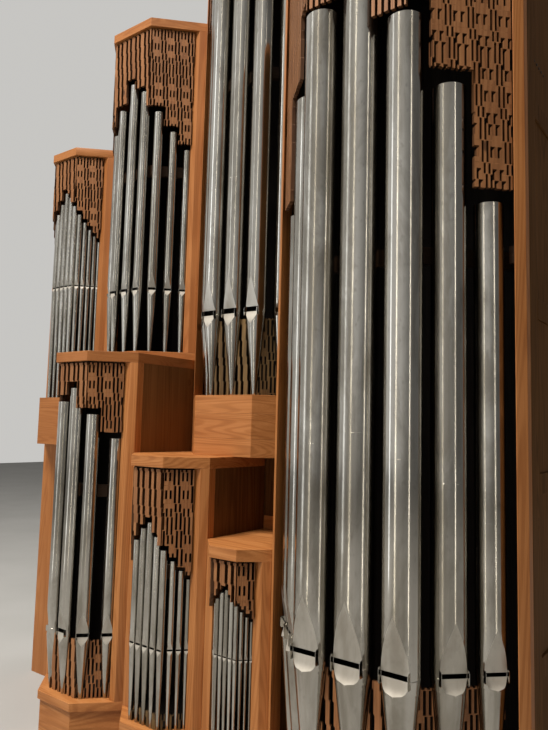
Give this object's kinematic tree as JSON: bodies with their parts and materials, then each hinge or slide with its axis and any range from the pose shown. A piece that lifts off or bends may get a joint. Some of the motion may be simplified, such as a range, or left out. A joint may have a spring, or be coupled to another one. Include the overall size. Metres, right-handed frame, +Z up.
{
  "type": "pipe organ",
  "caption": "Standing pipe organ: a wooden case of three-sided pipe towers in two tiers, with tin front pipes, openwork pipe shades and a tall pedal tower at one end.",
  "frame": {"origin": "middle of the case's outline in plan, on the floor", "axes": "+Z up, +X to the right seen from the front, the pipes face -Y"},
  "size_m": [3.205, 1.4622, 4.64],
  "materials": {
    "case_wood": "oiled warm brown wood",
    "shade_wood": "oiled warm brown wood, carved",
    "back_wood": "dark wood inside the case",
    "pipe_tin": "polished tin alloy"
  },
  "bodies": {
    "root": {"plinth": "case_wood", "left_side_frame": "case_wood", "left_side_panels": "case_wood", "left_front_panel": "case_wood", "upper_side_walls": "case_wood", "lower_left_side_walls": "case_wood", "lower_middle_side_wall": "case_wood", "recess_board": "case_wood", "pedal_left_wall": "case_wood", "pedal_right_frame": "case_wood", "pedal_right_panels": "case_wood", "upper_posts": "case_wood", "lower_posts": "case_wood", "pedal_posts": "case_wood", "upper_left_chest": "case_wood", "upper_middle_toe_board": "case_wood", "upper_right_chest": "case_wood", "lower_left_toe_board": "case_wood", "lower_middle_toe_board": "case_wood", "lower_right_toe_board": "case_wood", "pedal_toe_board": "case_wood", "upper_left_roof": "case_wood", "upper_middle_roof": "case_wood", "upper_right_roof": "case_wood", "lower_left_roof": "case_wood", "lower_middle_roof": "case_wood", "lower_right_roof": "case_wood", "pedal_roof": "case_wood", "back_wall": "back_wood", "pipe_rails": "back_wood", "upper_left_pipes": "pipe_tin", "upper_middle_pipes": "pipe_tin", "upper_right_pipes": "pipe_tin", "lower_left_pipes": "pipe_tin", "lower_middle_pipes": "pipe_tin", "lower_right_pipes": "pipe_tin", "pedal_pipes": "pipe_tin", "upper_left_shades": "shade_wood", "upper_middle_shades": "shade_wood", "upper_right_shades": "shade_wood", "lower_left_shades": "shade_wood", "lower_middle_shades": "shade_wood", "lower_right_shades": "shade_wood", "pedal_shades": "shade_wood"}
  },
  "joints": []
}
